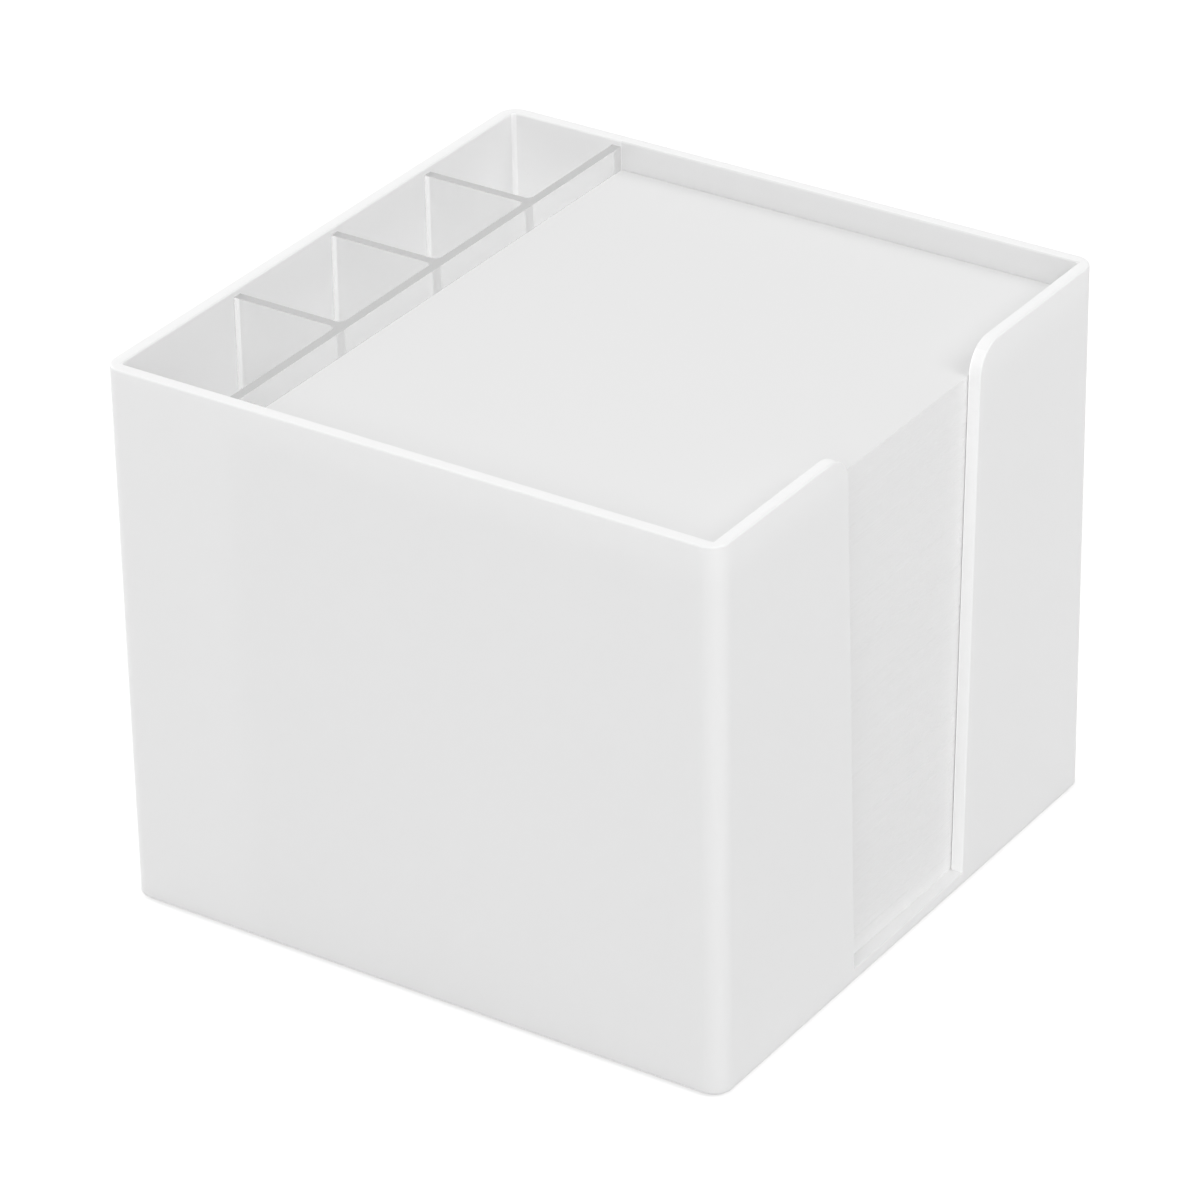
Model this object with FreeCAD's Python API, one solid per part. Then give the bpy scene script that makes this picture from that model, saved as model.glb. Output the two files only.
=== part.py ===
import FreeCAD, Part
import os

# Memo pad holder, in millimetres: an open-top case for a stack of loose note sheets, with a
# clear divider insert that makes four pen wells behind them. +Z is up, -Y is the front with
# the finger slot, +X is the right-hand side seen from the front. The origin is the middle of
# the footprint, on the surface that the holder stands on.

# Note sheets, with their long side along X
NOTE_LENGTH = 97.3
NOTE_WIDTH = 77.8
NOTE_THICKNESS = 0.1            # one sheet
NOTE_DROP = 4.7                 # the top sheet below the rim of the full case
NOTE_CLEARANCE = 0.15           # between them and each side of their well

# Case, one moulding
CASE_HEIGHT = 86.4
WALL = 2.0
FLOOR = 2.0
CORNER_RADIUS = 3.0             # upright edges outside
NOTE_WELL_CORNER_RADIUS = 0.3   # upright edges inside at the front, near sharp for the sheets
PEN_WELL_CORNER_RADIUS = 0.6    # upright edges inside at the back
RIM_RADIUS = 0.25               # softened edges of the rim and the slot
BASE_RADIUS = 0.3               # edge between the sides and the underside

# Finger slot in the front wall, tapering down to the floor
SLOT_TOP_WIDTH = 35.6           # between its straight sides produced to the rim
SLOT_BOTTOM_WIDTH = 30.2        # at the floor
SLOT_MOUTH_RADIUS = 4.8         # where its sides run out into the rim

# Divider insert, one moulding: a cross wall and the partitions behind it
INSERT_THICKNESS = 1.5
INSERT_DROP = 0.8               # its top edge below the rim
INSERT_CLEARANCE = 0.2          # between its ends and the case
PARTITION_COUNT = 3
PEN_WELL_WIDTH = 22.3           # the wells right of each partition; the left one is wider
PEN_WELL_DEPTH = 17.8           # length of a partition
WEB_RADIUS = 1.0                # rounded webs where a partition leaves the cross wall
GROOVE_DEPTH = 0.8              # the insert's foot stands this deep in the floor
GROOVE_CLEARANCE = 0.15         # between its foot and each side of the groove

# Non-slip pads, stuck in round recesses of the underside
PAD_RADIUS = 5.0
PAD_THICKNESS = 1.0
PAD_EDGE_RADIUS = 0.25          # rounding of the edge that stands on the desk
PAD_RECESS = 0.6
PAD_CLEARANCE = 0.2             # around a pad in its recess
PAD_INSET = 12.0                # from a side of the case to the centre of a pad

# Sizes that follow
INSIDE_WIDTH = NOTE_LENGTH + 2 * NOTE_CLEARANCE
NOTE_WELL_DEPTH = NOTE_WIDTH + 2 * NOTE_CLEARANCE
INSIDE_DEPTH = NOTE_WELL_DEPTH + INSERT_THICKNESS + PEN_WELL_DEPTH + INSERT_CLEARANCE
CASE_WIDTH = INSIDE_WIDTH + 2 * WALL
CASE_DEPTH = INSIDE_DEPTH + 2 * WALL

UNDERSIDE_Z = PAD_THICKNESS - PAD_RECESS
FLOOR_Z = UNDERSIDE_Z + FLOOR
RIM_Z = UNDERSIDE_Z + CASE_HEIGHT
INSERT_TOP_Z = RIM_Z - INSERT_DROP
GROOVE_Z = FLOOR_Z - GROOVE_DEPTH
TOP_NOTE_Z = RIM_Z - NOTE_DROP - NOTE_THICKNESS

FRONT_Y = -CASE_DEPTH / 2
NOTE_WELL_Y = FRONT_Y + WALL
CROSS_WALL_Y = NOTE_WELL_Y + NOTE_WELL_DEPTH
PARTITION_Y = CROSS_WALL_Y + INSERT_THICKNESS
INSIDE_BACK_Y = NOTE_WELL_Y + INSIDE_DEPTH

# Left faces of the partitions, from right to left
PARTITION_XS = [
    INSIDE_WIDTH / 2 - (place + 1) * (PEN_WELL_WIDTH + INSERT_THICKNESS)
    for place in range(PARTITION_COUNT)
]

OVERCUT = 1.0                   # how far a cutting body stands out of what it cuts
TOLERANCE = 1e-6                # for finding edges by their place


def box(x_low, x_high, y_low, y_high, z_low, z_high):
    """Box between two limits on each axis."""
    corner = FreeCAD.Vector(x_low, y_low, z_low)
    return Part.makeBox(x_high - x_low, y_high - y_low, z_high - z_low, corner)


def upright_edges(shape):
    """Edges that run along Z."""
    return [
        edge for edge in shape.Edges
        if abs(edge.BoundBox.ZLength - edge.Length) < TOLERANCE
    ]


def edges_at_height(shape, height):
    """Edges that lie wholly at one height."""
    return [
        edge for edge in shape.Edges
        if abs(edge.BoundBox.ZMin - height) < TOLERANCE and abs(edge.BoundBox.ZMax - height) < TOLERANCE
    ]


def centred_box(width, depth, z_low, z_high, front_radius, back_radius):
    """Box about the Z axis with its upright edges rounded."""
    block = box(-width / 2, width / 2, -depth / 2, depth / 2, z_low, z_high)
    front_edges = [edge for edge in upright_edges(block) if edge.BoundBox.Center.y < 0]
    block = block.makeFillet(front_radius, front_edges)
    back_edges = [edge for edge in upright_edges(block) if edge.BoundBox.Center.y > 0]
    return block.makeFillet(back_radius, back_edges)


def finger_slot():
    """Cutting body of the slot: straight tapered sides that run out into the rim in an arc."""
    taper = (SLOT_TOP_WIDTH - SLOT_BOTTOM_WIDTH) / 2 / (RIM_Z - FLOOR_Z)
    top_z = RIM_Z + OVERCUT
    top_half = SLOT_TOP_WIDTH / 2 + taper * OVERCUT
    bottom_half = SLOT_BOTTOM_WIDTH / 2
    outline = Part.makePolygon([
        FreeCAD.Vector(-bottom_half, FRONT_Y - OVERCUT, FLOOR_Z),
        FreeCAD.Vector(bottom_half, FRONT_Y - OVERCUT, FLOOR_Z),
        FreeCAD.Vector(top_half, FRONT_Y - OVERCUT, top_z),
        FreeCAD.Vector(-top_half, FRONT_Y - OVERCUT, top_z),
        FreeCAD.Vector(-bottom_half, FRONT_Y - OVERCUT, FLOOR_Z),
    ])
    return Part.Face(outline).extrude(FreeCAD.Vector(0, WALL + 2 * OVERCUT, 0))


def slot_mouth_edges(shape):
    """The two edges across the front wall where the slot's sides meet the rim."""
    return [
        edge for edge in edges_at_height(shape, RIM_Z)
        if abs(abs(edge.BoundBox.Center.x) - SLOT_TOP_WIDTH / 2) < TOLERANCE
        and edge.BoundBox.YMax < NOTE_WELL_Y + TOLERANCE
        and edge.BoundBox.XLength < TOLERANCE
    ]


def pad_centres():
    """Name and place of each non-slip pad."""
    x = CASE_WIDTH / 2 - PAD_INSET
    y = CASE_DEPTH / 2 - PAD_INSET
    return {
        "front_left": (-x, -y),
        "front_right": (x, -y),
        "back_left": (-x, y),
        "back_right": (x, y),
    }


def insert_walls(z_low, z_high, growth):
    """Cross wall and partitions as plain plates, each grown sideways by the same amount."""
    half_length = INSIDE_WIDTH / 2 - INSERT_CLEARANCE + growth
    back_y = INSIDE_BACK_Y - INSERT_CLEARANCE + growth
    walls = box(-half_length, half_length, CROSS_WALL_Y - growth, PARTITION_Y + growth, z_low, z_high)
    for x in PARTITION_XS:
        partition = box(x - growth, x + INSERT_THICKNESS + growth, CROSS_WALL_Y, back_y, z_low, z_high)
        walls = walls.fuse(partition)
    return walls.removeSplitter()


def web(x, side):
    """Quarter-round web behind the cross wall, on the side of the face of a partition at x."""
    far_x = x + side * WEB_RADIUS
    far_y = PARTITION_Y + WEB_RADIUS
    block = box(min(x, far_x), max(x, far_x), PARTITION_Y, far_y, FLOOR_Z, INSERT_TOP_Z)
    hollow = Part.makeCylinder(WEB_RADIUS, INSERT_TOP_Z - FLOOR_Z, FreeCAD.Vector(far_x, far_y, FLOOR_Z))
    return block.cut(hollow)


def case():
    """Moulded case: floor, four walls, finger slot, grooves for the insert, pad recesses."""
    shell = centred_box(CASE_WIDTH, CASE_DEPTH, UNDERSIDE_Z, RIM_Z, CORNER_RADIUS, CORNER_RADIUS)
    shell = shell.makeFillet(BASE_RADIUS, edges_at_height(shell, UNDERSIDE_Z))
    room_top = RIM_Z + OVERCUT
    radii = (NOTE_WELL_CORNER_RADIUS, PEN_WELL_CORNER_RADIUS)
    shell = shell.cut(centred_box(INSIDE_WIDTH, INSIDE_DEPTH, FLOOR_Z, room_top, *radii))
    shell = shell.cut(finger_slot())
    shell = shell.makeFillet(SLOT_MOUTH_RADIUS, slot_mouth_edges(shell))
    shell = shell.makeFillet(RIM_RADIUS, edges_at_height(shell, RIM_Z))
    shell = shell.cut(insert_walls(GROOVE_Z, FLOOR_Z + OVERCUT, GROOVE_CLEARANCE))
    for x, y in pad_centres().values():
        mouth = FreeCAD.Vector(x, y, UNDERSIDE_Z - OVERCUT)
        shell = shell.cut(Part.makeCylinder(PAD_RADIUS + PAD_CLEARANCE, PAD_RECESS + OVERCUT, mouth))
    return shell


def divider_insert():
    """Clear insert: its foot stands in the grooves of the floor."""
    insert = insert_walls(GROOVE_Z, INSERT_TOP_Z, 0)
    for x in PARTITION_XS:
        insert = insert.fuse(web(x, -1)).fuse(web(x + INSERT_THICKNESS, 1))
    return insert.removeSplitter()


def notes(z_low, z_high):
    """A flat bundle of notes in their well."""
    y_low = NOTE_WELL_Y + NOTE_CLEARANCE
    return box(-NOTE_LENGTH / 2, NOTE_LENGTH / 2, y_low, y_low + NOTE_WIDTH, z_low, z_high)


def pad(x, y):
    """Round non-slip pad, on the desk at z = 0."""
    disc = Part.makeCylinder(PAD_RADIUS, PAD_THICKNESS, FreeCAD.Vector(x, y, 0))
    return disc.makeFillet(PAD_EDGE_RADIUS, edges_at_height(disc, 0))


nodes = {
    "case": case(),
    "divider_insert": divider_insert(),
    "note_stack": notes(FLOOR_Z, TOP_NOTE_Z),
    "top_note": notes(TOP_NOTE_Z, TOP_NOTE_Z + NOTE_THICKNESS),
}
for corner, (x, y) in pad_centres().items():
    nodes["pad_" + corner] = pad(x, y)

os.makedirs("parts", exist_ok=True)
for name, shape in nodes.items():
    shape.exportStep("parts/" + name + ".step")
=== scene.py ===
import math
import random

import bpy
from mathutils import Matrix, Vector


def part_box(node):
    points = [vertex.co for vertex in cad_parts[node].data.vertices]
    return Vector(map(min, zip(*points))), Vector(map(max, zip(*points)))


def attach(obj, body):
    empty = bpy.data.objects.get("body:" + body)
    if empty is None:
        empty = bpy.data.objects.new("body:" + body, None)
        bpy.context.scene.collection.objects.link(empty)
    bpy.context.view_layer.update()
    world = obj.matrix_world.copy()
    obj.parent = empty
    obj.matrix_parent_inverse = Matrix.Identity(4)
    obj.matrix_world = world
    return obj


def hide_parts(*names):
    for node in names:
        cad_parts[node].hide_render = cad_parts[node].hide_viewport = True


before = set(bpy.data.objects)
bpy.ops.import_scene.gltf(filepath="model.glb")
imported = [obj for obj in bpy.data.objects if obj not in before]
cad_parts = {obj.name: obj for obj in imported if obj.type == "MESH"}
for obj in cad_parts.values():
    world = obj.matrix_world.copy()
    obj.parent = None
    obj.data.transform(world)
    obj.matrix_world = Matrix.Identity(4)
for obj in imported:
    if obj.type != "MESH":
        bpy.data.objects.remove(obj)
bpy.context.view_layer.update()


# Case. One injection moulding in opal white plastic with a satin skin, its walls two
# millimetres thick. The pen wells and the finger slot's cut edges have a painted glow. Painted
# shade greys its up-facing faces, its inside and the slot's foot; the wells' rounded corners carry a
# painted highlight.

WHITE_PLASTIC = (0.94, 0.94, 0.94)
# painted shade on every up-facing face, the rim's top among them
UPWARD_PAINTED_SHADE = (0.9, 0.9, 0.9)
# painted shade inside the note well
NOTE_WELL_PAINTED_SHADE = (0.79, 0.79, 0.79)
# painted shade inside the pen wells
PEN_WELL_PAINTED_SHADE = (0.86, 0.86, 0.86)
# painted shade on the floor's edge at the foot of the slot
FOOT_PAINTED_SHADE = (0.83, 0.83, 0.83)
# painted highlight in the pen wells' rounded corners
WELL_CORNER_PAINTED_HIGHLIGHT = (0.97, 0.97, 0.97)
WALL = 0.002
SKIN = 0.0002               # how far a painted area reaches into a wall's face
CORNER_SLANT = 0.1          # a rounded corner's normal, where the highlight is painted, leans more than this both ways
FOOT_HEIGHT = 0.003         # of the painted shade on the floor's edge at the foot of the slot, with room above it
GLOW_DEPTH = 0.002          # how far light spreads in the plastic
PAINTED_WELL_GLOW = 0.14            # painted glow in the pen wells, from none at the rim
WELL_GLOW_HEIGHT = 0.0615   # to all of it at this height and below
SLOT_REACH = 0.0195         # half the slot's width with its rounded mouth
CUT_PAINTED_GLOW = 0.35             # painted glow of the slot's cut faces, as a share of the pen wells' glow
LIP_PAINTED_GLOW = 1.6              # painted glow of the lip at their inner edge, as such a share
LIP = 0.0003                # width of the lip

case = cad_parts["case"]
case_low, case_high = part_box("case")
insert_low, insert_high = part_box("divider_insert")


def new_finish(name):
    """Empty node material with its Principled shader and output."""
    finish = bpy.data.materials.new(name)
    finish.use_nodes = True
    finish.node_tree.nodes.clear()
    shader = finish.node_tree.nodes.new("ShaderNodeBsdfPrincipled")
    output = finish.node_tree.nodes.new("ShaderNodeOutputMaterial")
    finish.node_tree.links.new(shader.outputs["BSDF"], output.inputs["Surface"])
    return finish, shader


def grain_group():
    """Node group: a fine grain and a broad mottle, both on Object coordinates."""
    group = bpy.data.node_groups.new("fine_grain", "ShaderNodeTree")
    for name, value in (("Grain Scale", 2500.0), ("Mottle Scale", 40.0)):
        socket = group.interface.new_socket(name, in_out="INPUT", socket_type="NodeSocketFloat")
        socket.default_value = value
    group.interface.new_socket("Grain", in_out="OUTPUT", socket_type="NodeSocketFloat")
    group.interface.new_socket("Mottle", in_out="OUTPUT", socket_type="NodeSocketFloat")
    nodes, links = group.nodes, group.links
    inlet = nodes.new("NodeGroupInput")
    outlet = nodes.new("NodeGroupOutput")
    place = nodes.new("ShaderNodeTexCoord")
    for name, detail in (("Grain", 2.0), ("Mottle", 4.0)):
        noise = nodes.new("ShaderNodeTexNoise")
        noise.inputs["Detail"].default_value = detail
        links.new(place.outputs["Object"], noise.inputs["Vector"])
        links.new(inlet.outputs[name + " Scale"], noise.inputs["Scale"])
        links.new(noise.outputs["Fac"], outlet.inputs[name])
    return group


fine_grain = grain_group()


def add_grain(finish, grain_scale, mottle_scale):
    """Places the grain group in a material with its own scales."""
    grain = finish.node_tree.nodes.new("ShaderNodeGroup")
    grain.node_tree = fine_grain
    grain.inputs["Grain Scale"].default_value = grain_scale
    grain.inputs["Mottle Scale"].default_value = mottle_scale
    return grain


def vary(finish, mask, low, high, socket):
    """Drives a socket between two values, as a mask goes from 0 to 1."""
    span = finish.node_tree.nodes.new("ShaderNodeMapRange")
    span.inputs["To Min"].default_value = low
    span.inputs["To Max"].default_value = high
    finish.node_tree.links.new(mask, span.inputs["Value"])
    finish.node_tree.links.new(span.outputs["Result"], socket)


def bump_from(finish, height, shader, strength, distance):
    """Bump of a mask into a shader's normal."""
    bump = finish.node_tree.nodes.new("ShaderNodeBump")
    bump.inputs["Strength"].default_value = strength
    bump.inputs["Distance"].default_value = distance
    finish.node_tree.links.new(height, bump.inputs["Height"])
    finish.node_tree.links.new(bump.outputs["Normal"], shader.inputs["Normal"])


def calculate(finish, operation, first, second):
    """Result of a math node, each side of it a socket or a number."""
    step = finish.node_tree.nodes.new("ShaderNodeMath")
    step.operation = operation
    for value, inlet in zip((first, second), step.inputs):
        if isinstance(value, float):
            inlet.default_value = value
        else:
            finish.node_tree.links.new(value, inlet)
    return step.outputs["Value"]


def split(finish, coordinate):
    """X, Y and Z of a texture coordinate."""
    nodes, links = finish.node_tree.nodes, finish.node_tree.links
    source = nodes.new("ShaderNodeTexCoord")
    parts = nodes.new("ShaderNodeSeparateXYZ")
    links.new(source.outputs[coordinate], parts.inputs["Vector"])
    return [parts.outputs[axis] for axis in "XYZ"]


def unsigned(finish, value):
    """A value without its sign."""
    return calculate(finish, "ABSOLUTE", value, 0.0)


def turned(finish, facing):
    """1 where a surface faces mostly along an axis, from its normal's share of that axis."""
    return calculate(finish, "GREATER_THAN", facing, 0.5)


def between(finish, value, low, high):
    """1 where a value lies between two limits, else 0."""
    above = calculate(finish, "GREATER_THAN", value, low)
    return calculate(finish, "MULTIPLY", above, calculate(finish, "LESS_THAN", value, high))


def any_of(finish, masks):
    """The largest of several masks."""
    mask = masks[0]
    for other in masks[1:]:
        mask = calculate(finish, "MAXIMUM", mask, other)
    return mask


def all_of(finish, masks):
    """The product of several masks."""
    mask = masks[0]
    for other in masks[1:]:
        mask = calculate(finish, "MULTIPLY", mask, other)
    return mask


def painted(finish, mask, colour, under):
    """Colour where a mask is 1, and elsewhere what lies under it, a colour or a socket."""
    mix = finish.node_tree.nodes.new("ShaderNodeMix")
    mix.data_type = "RGBA"
    finish.node_tree.links.new(mask, mix.inputs["Factor"])
    mix.inputs["B"].default_value = (*colour, 1)
    if isinstance(under, tuple):
        mix.inputs["A"].default_value = (*under, 1)
    else:
        finish.node_tree.links.new(under, mix.inputs["A"])
    return mix.outputs["Result"]


def mottled(finish, mask, colour, share):
    """A colour that a mask takes up to some times its strength."""
    return painted(finish, mask, tuple(share * value for value in colour), colour)


def well_masks(finish, x, y):
    """Masks of the case's inside, where shade and glow are painted: its note well, and its pen wells
    together.
    """
    across = between(finish, x, case_low.x + WALL - SKIN, case_high.x - WALL + SKIN)
    note_side = between(finish, y, case_low.y + WALL - SKIN, insert_low.y)
    pen_side = between(finish, y, insert_low.y, case_high.y - WALL + SKIN)
    return all_of(finish, [across, note_side]), all_of(finish, [across, pen_side])


def slot_painted_glow(finish, x, y, facing_x):
    """Painted glow on the finger slot's cut faces, strongest along their inner edge."""
    inner_face = case_low.y + WALL
    at_slot = between(finish, x, -SLOT_REACH, SLOT_REACH)
    in_front = calculate(finish, "LESS_THAN", y, inner_face + SKIN)
    inner_edge = between(finish, y, inner_face - LIP, inner_face)
    sideways = unsigned(finish, facing_x)
    cut_faces = all_of(finish, [at_slot, in_front, sideways])
    lip = all_of(finish, [at_slot, inner_edge, sideways])
    return any_of(finish, [
        calculate(finish, "MULTIPLY", cut_faces, CUT_PAINTED_GLOW),
        calculate(finish, "MULTIPLY", lip, LIP_PAINTED_GLOW),
    ])


def opal_plastic():
    """Satin white plastic that light enters a little way, with painted shade, painted highlights and a
    painted glow.
    """
    finish, shader = new_finish("opal_plastic")
    links = finish.node_tree.links
    grain = add_grain(finish, grain_scale=3000, mottle_scale=30)
    x, y, z = split(finish, "Object")
    facing_x, facing_y, facing_z = split(finish, "Normal")
    note_well, pen_wells = well_masks(finish, x, y)
    slant = unsigned(finish, calculate(finish, "MULTIPLY", facing_x, facing_y))
    rounded = calculate(finish, "GREATER_THAN", slant, CORNER_SLANT)
    low_down = calculate(finish, "LESS_THAN", z, case_low.z + FOOT_HEIGHT)

    colour = mottled(finish, grain.outputs["Mottle"], WHITE_PLASTIC, 1.01)
    # painted shade on up-facing faces, the note well, the pen wells and the slot's foot; a painted
    # highlight in the wells' rounded corners
    colour = painted(finish, facing_z, UPWARD_PAINTED_SHADE, colour)
    colour = painted(finish, note_well, NOTE_WELL_PAINTED_SHADE, colour)
    colour = painted(finish, pen_wells, PEN_WELL_PAINTED_SHADE, colour)
    colour = painted(finish, all_of(finish, [low_down, turned(finish, facing_z)]), FOOT_PAINTED_SHADE, colour)
    colour = painted(finish, all_of(finish, [pen_wells, rounded]), WELL_CORNER_PAINTED_HIGHLIGHT, colour)
    links.new(colour, shader.inputs["Base Color"])

    # painted glow: in the pen wells, growing from the rim downwards, and on the slot's cut faces and lip
    depth = finish.node_tree.nodes.new("ShaderNodeMapRange")
    depth.inputs["From Min"].default_value = case_high.z
    depth.inputs["From Max"].default_value = WELL_GLOW_HEIGHT
    links.new(z, depth.inputs["Value"])
    well_painted_glow = all_of(finish, [pen_wells, depth.outputs["Result"]])
    glow = any_of(finish, [well_painted_glow, slot_painted_glow(finish, x, y, facing_x)])
    links.new(glow, shader.inputs["Emission Color"])
    shader.inputs["Emission Strength"].default_value = PAINTED_WELL_GLOW
    vary(finish, grain.outputs["Mottle"], 0.34, 0.42, shader.inputs["Roughness"])
    bump_from(finish, grain.outputs["Grain"], shader, strength=0.08, distance=0.00002)
    shader.inputs["Subsurface Weight"].default_value = 0.3
    shader.inputs["Subsurface Radius"].default_value = (1.0, 1.0, 1.0)
    shader.inputs["Subsurface Scale"].default_value = GLOW_DEPTH
    shader.inputs["IOR"].default_value = 1.5
    return finish


def dress(piece, finish):
    """Gives a piece one finish."""
    piece.data.materials.clear()
    piece.data.materials.append(finish)


dress(case, opal_plastic())


# Divider insert. A thin clear moulding, a cross wall with partitions behind it, that drops
# into grooves of the floor. Its faces have a slight haze. Its top edges carry painted shade,
# the partitions' back ends a painted highlight and glow, and their roots painted shade lines on the cross
# wall.

CLEAR_HAZE = (0.84, 0.84, 0.84)
# painted shade: the top edges are painted grey
EDGE_PAINTED_SHADE = (0.51, 0.51, 0.51)
# painted highlight: the partitions' back ends are painted light
END_PAINTED_HIGHLIGHT = (0.95, 0.95, 0.95)
# painted shade: dark lines on the cross wall at the partitions' roots and its right-hand end
ROOT_PAINTED_SHADE = (0.66, 0.66, 0.66)
FACE_COVER = 0.36
EDGE_COVER = 0.9
ROOT_COVER = 0.75
# painted glow of the partitions' back ends
END_PAINTED_GLOW = 0.2
FACE_DEPTH = 0.0005                             # how deep a face's own colour is looked for
PARTITION_PLACES = (-0.0226, 0.0012, 0.0250)    # left faces
ROOT_LINE = (-0.00185, 0.00005)                 # painted shade line, from a partition's left face
END_LINE = (0.0001, 0.0012)                     # painted highlight, from the same face
SIDE_LINE = 0.00175                             # width of the painted shade line at the right-hand end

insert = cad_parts["divider_insert"]


def clear_plastic():
    """Clear polished plastic with painted shade on its top edges and roots and a painted highlight and glow
    on its back ends, picked out by where they are and how they face.
    """
    finish, shader = new_finish("clear_plastic")
    links = finish.node_tree.links
    x, y = split(finish, "Object")[:2]
    facing_y, facing_z = split(finish, "Normal")[1:]
    across = turned(finish, unsigned(finish, facing_y))
    at_back = calculate(finish, "GREATER_THAN", y, insert_high.y - FACE_DEPTH)
    at_front = calculate(finish, "LESS_THAN", y, insert_low.y + FACE_DEPTH)
    ends = [between(finish, x, place + END_LINE[0], place + END_LINE[1]) for place in PARTITION_PLACES]
    lines = [between(finish, x, place + ROOT_LINE[0], place + ROOT_LINE[1]) for place in PARTITION_PLACES]
    lines.append(between(finish, x, insert_high.x - SIDE_LINE, insert_high.x))
    back_end_highlight = all_of(finish, [across, at_back, any_of(finish, ends)])
    # painted shade lines on the cross wall's front
    roots = all_of(finish, [across, at_front, any_of(finish, lines)])
    # top edges, painted grey as painted shade
    top_edge_shade = turned(finish, unsigned(finish, facing_z))
    edges = any_of(finish, [top_edge_shade, back_end_highlight])

    grain = add_grain(finish, grain_scale=800, mottle_scale=60)
    colour = mottled(finish, grain.outputs["Mottle"], CLEAR_HAZE, 1.02)
    # painted shade on the roots and top edges, a painted highlight on the back ends
    colour = painted(finish, roots, ROOT_PAINTED_SHADE, colour)
    colour = painted(finish, back_end_highlight, END_PAINTED_HIGHLIGHT, colour)
    colour = painted(finish, top_edge_shade, EDGE_PAINTED_SHADE, colour)
    links.new(colour, shader.inputs["Base Color"])

    root_cover = calculate(finish, "MULTIPLY", roots, ROOT_COVER)
    edge_cover = calculate(finish, "MULTIPLY", edges, EDGE_COVER)
    cover = calculate(finish, "MAXIMUM", any_of(finish, [root_cover, edge_cover]), FACE_COVER)
    links.new(cover, shader.inputs["Alpha"])
    # painted glow in the partitions' back ends
    links.new(back_end_highlight, shader.inputs["Emission Color"])
    shader.inputs["Emission Strength"].default_value = END_PAINTED_GLOW
    vary(finish, edges, 0.06, 0.35, shader.inputs["Roughness"])
    shader.inputs["IOR"].default_value = 1.49
    return finish


dress(insert, clear_plastic())
insert.visible_diffuse = False
insert.visible_shadow = False


# Notes. Loose sheets of uncoated white paper, cut together and squared up by the well, so
# that each lies a hair out of line with the next. The top sheet, the one taken next, lies
# up against the cross wall and the right-hand wall.

NOTE_PAPER = (0.81, 0.81, 0.81)
# painted light: the cut edges are painted lighter than the faces
CUT_EDGE_PAINTED_LIGHT = (0.98, 0.98, 0.98)
SHEET_PITCH = 0.0001
SHEET_THICKNESS = 0.000094
SHEET_SLIP = 0.00001                # spread of the sheets' places, either way
SHEET_TWIST = math.radians(0.005)   # spread of their turns
SHEET_MARGIN = 0.0001               # how far a sheet reaches past the plain block
SHEET_CORNER = 0.0002
SHEET_STREAKS = (30, 30, 6000)      # how often the cut edge's tone changes along X, Y and Z
TOP_SHEET_SHIFT = 0.000035

stack_low, stack_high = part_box("note_stack")
top_low, top_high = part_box("top_note")
stack_middle = (stack_low + stack_high) / 2
sheet_length = stack_high.x - stack_low.x + 2 * SHEET_MARGIN
sheet_width = stack_high.y - stack_low.y + 2 * SHEET_MARGIN


def note_paper():
    """Uncoated paper: a fine fibre grain, cut edges painted lighter as painted light, a hair's difference
    per sheet.
    """
    finish, shader = new_finish("note_paper")
    nodes, links = finish.node_tree.nodes, finish.node_tree.links
    grain = add_grain(finish, grain_scale=1800, mottle_scale=90)
    facing_z = split(finish, "Normal")[2]
    place = nodes.new("ShaderNodeTexCoord")
    stretch = nodes.new("ShaderNodeMapping")
    stretch.inputs["Scale"].default_value = SHEET_STREAKS
    sheets = nodes.new("ShaderNodeTexNoise")
    sheets.inputs["Scale"].default_value = 1.0
    sheets.inputs["Detail"].default_value = 1.0
    links.new(place.outputs["Object"], stretch.inputs["Vector"])
    links.new(stretch.outputs["Vector"], sheets.inputs["Vector"])
    # the cut edges painted lighter than the faces, as painted light, with a random tone per sheet
    darker = tuple(0.98 * value for value in CUT_EDGE_PAINTED_LIGHT)
    colour = painted(finish, sheets.outputs["Fac"], CUT_EDGE_PAINTED_LIGHT, darker)
    colour = painted(finish, turned(finish, unsigned(finish, facing_z)), NOTE_PAPER, colour)
    links.new(colour, shader.inputs["Base Color"])
    bump_from(finish, grain.outputs["Grain"], shader, strength=0.15, distance=0.00003)
    shader.inputs["Roughness"].default_value = 0.9
    shader.inputs["Specular IOR Level"].default_value = 0.2
    return finish


def new_sheet(name, low_z, thickness):
    """One sheet in the middle of the note well, cut square with its corners hardly worn."""
    bpy.ops.object.select_all(action="DESELECT")
    middle = (stack_middle.x, stack_middle.y, low_z + thickness / 2)
    bpy.ops.mesh.primitive_cube_add(size=1, location=middle, scale=(sheet_length, sheet_width, thickness))
    bpy.ops.object.transform_apply(location=True, rotation=True, scale=True)
    sheet = bpy.context.object
    bpy.ops.object.mode_set(mode="EDIT")
    bpy.ops.mesh.select_mode(type="EDGE")
    bpy.ops.mesh.select_all(action="DESELECT")
    bpy.ops.object.mode_set(mode="OBJECT")
    for edge in sheet.data.edges:
        ends = [sheet.data.vertices[place].co for place in edge.vertices]
        edge.select = (ends[0] - ends[1]).length < 2 * thickness
    bpy.ops.object.mode_set(mode="EDIT")
    bpy.ops.mesh.bevel(offset=SHEET_CORNER, segments=1)
    bpy.ops.object.mode_set(mode="OBJECT")
    sheet.name = name
    sheet.data.name = name
    return sheet


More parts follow.
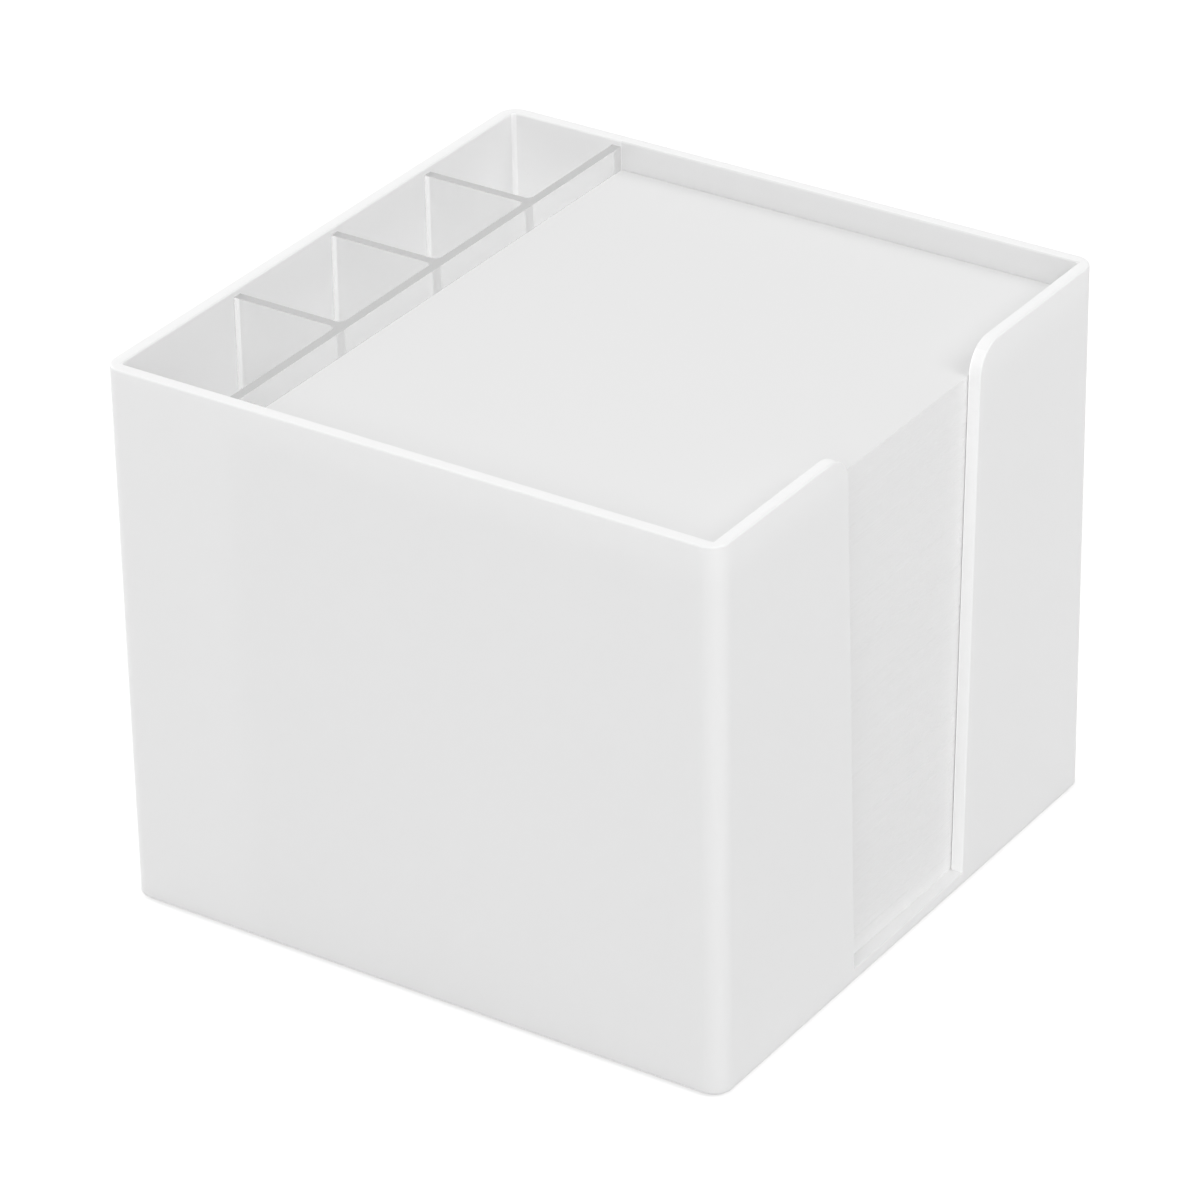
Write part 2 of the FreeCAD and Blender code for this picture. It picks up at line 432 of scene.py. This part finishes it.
paper = note_paper()
slip = random.Random(4)
stack = new_sheet("notes", stack_low.z, SHEET_THICKNESS)
sheet_count = round((stack_high.z - stack_low.z) / SHEET_PITCH)
to_middle = Matrix.Translation(Vector((stack_middle.x, stack_middle.y, 0)))
copies = []
for place in range(1, sheet_count):
    copy = stack.copy()
    copy.data = stack.data.copy()
    bpy.context.collection.objects.link(copy)
    step = Vector((slip.gauss(0, SHEET_SLIP), slip.gauss(0, SHEET_SLIP), place * SHEET_PITCH))
    twist = Matrix.Rotation(slip.gauss(0, SHEET_TWIST), 4, "Z")
    copy.data.transform(Matrix.Translation(step) @ to_middle @ twist @ to_middle.inverted())
    copies.append(copy)
bpy.ops.object.select_all(action="DESELECT")
for copy in copies:
    copy.select_set(True)
stack.select_set(True)
bpy.context.view_layer.objects.active = stack
bpy.ops.object.join()
dress(stack, paper)
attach(stack, "notes")
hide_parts("note_stack")

top_sheet = new_sheet("top_sheet", top_low.z, top_high.z - top_low.z)
top_sheet.data.transform(Matrix.Translation(Vector((TOP_SHEET_SHIFT, TOP_SHEET_SHIFT, 0))))
dress(top_sheet, paper)
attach(top_sheet, "loose_note")
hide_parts("top_note")


# Non-slip pads. Four soft discs of pale rubber, each stuck in a round recess of the
# underside, so that the case stands just clear of the desk.

PAD_RUBBER = (0.6, 0.6, 0.6)


def pad_rubber():
    """Matte pale rubber."""
    finish, shader = new_finish("pad_rubber")
    grain = add_grain(finish, grain_scale=1500, mottle_scale=200)
    colour = mottled(finish, grain.outputs["Mottle"], PAD_RUBBER, 1.08)
    finish.node_tree.links.new(colour, shader.inputs["Base Color"])
    bump_from(finish, grain.outputs["Grain"], shader, strength=0.3, distance=0.00005)
    shader.inputs["Roughness"].default_value = 0.8
    return finish


rubber = pad_rubber()
for name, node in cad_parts.items():
    if name.startswith("pad_"):
        dress(node, rubber)


# Floor. A plain pale plane with the soft shadow of the holder on it. A glow that only the
# eye and reflections meet makes it look white.

FLOOR_SIZE = 6.0
FLOOR_PALE = (0.6, 0.6, 0.6)
FLOOR_LIFT = 0.52

bpy.ops.object.select_all(action="DESELECT")
bpy.ops.mesh.primitive_plane_add(size=FLOOR_SIZE, location=(0, 0, 0))
floor = bpy.context.object
floor.name = "floor"
floor_finish, floor_shader = new_finish("studio_floor")
floor_shader.inputs["Base Color"].default_value = (*FLOOR_PALE, 1)
floor_shader.inputs["Roughness"].default_value = 0.9
floor_shader.inputs["Specular IOR Level"].default_value = 0.0
seen = floor_finish.node_tree.nodes.new("ShaderNodeLightPath")
looked_at = calculate(floor_finish, "MAXIMUM", seen.outputs["Is Camera Ray"], seen.outputs["Is Glossy Ray"])
floor_lift = calculate(floor_finish, "MULTIPLY", looked_at, FLOOR_LIFT)
floor_finish.node_tree.links.new(floor_lift, floor_shader.inputs["Emission Strength"])
floor_shader.inputs["Emission Color"].default_value = (1, 1, 1, 1)
floor.data.materials.append(floor_finish)


# Light. An even white room with three broad soft lamps: the key at the left and a little to
# the front, one high at the front, and one low behind that shines towards the pen wells.

ROOM_LEVEL = 0.5
LAMP_AIM = Vector((0, 0, 0.04))
LAMPS = {                       # place, size and power
    "key_lamp": ((-1.75, -0.62, 1.4), 1.6, 19.5),
    "front_lamp": ((0.3, -1.5, 1.6), 1.2, 12.6),
    "back_lamp": ((0.4, 2.0, 0.8), 1.6, 22.0),
}

world = bpy.data.worlds.new("studio")
bpy.context.scene.world = world
world.use_nodes = True
sky = world.node_tree.nodes["Background"]
sky.inputs["Color"].default_value = (1, 1, 1, 1)
path = world.node_tree.nodes.new("ShaderNodeLightPath")
looked_at = calculate(world, "MAXIMUM", path.outputs["Is Camera Ray"], path.outputs["Is Glossy Ray"])
vary(world, looked_at, ROOM_LEVEL, 1.0, sky.inputs["Strength"])

for name, (place, size, power) in LAMPS.items():
    bpy.ops.object.light_add(type="AREA", location=place)
    lamp = bpy.context.object
    lamp.name = name
    lamp.data.shape = "SQUARE"
    lamp.data.size = size
    lamp.data.energy = power
    aim = LAMP_AIM - lamp.location
    lamp.rotation_mode = "QUATERNION"
    lamp.rotation_quaternion = aim.to_track_quat("-Z", "Y")


# Camera. It looks at the left front corner from a little above, down at about thirty
# degrees, through a long lens.

CAMERA_PLACE = Vector((-0.63129, -0.42007, 0.46639))
CAMERA_AZIMUTH = math.radians(-56.243)
CAMERA_ELEVATION = math.radians(29.338)
CAMERA_ROLL = math.radians(-0.934)
SENSOR = 36.0
FOCAL_PIXELS = 6000.0
FRAME_PIXELS = 1200

bpy.ops.object.camera_add(location=CAMERA_PLACE)
camera = bpy.context.object
camera.name = "camera"
camera.rotation_mode = "XYZ"
camera.rotation_euler = (math.radians(90) - CAMERA_ELEVATION, 0, CAMERA_AZIMUTH)
camera.data.sensor_width = SENSOR
camera.data.lens = SENSOR * FOCAL_PIXELS / FRAME_PIXELS
bpy.context.view_layer.update()
roll = Matrix.Rotation(CAMERA_ROLL, 4, "Z")
camera.matrix_world = camera.matrix_world @ roll
bpy.context.scene.camera = camera

bpy.context.scene.view_settings.view_transform = "Standard"
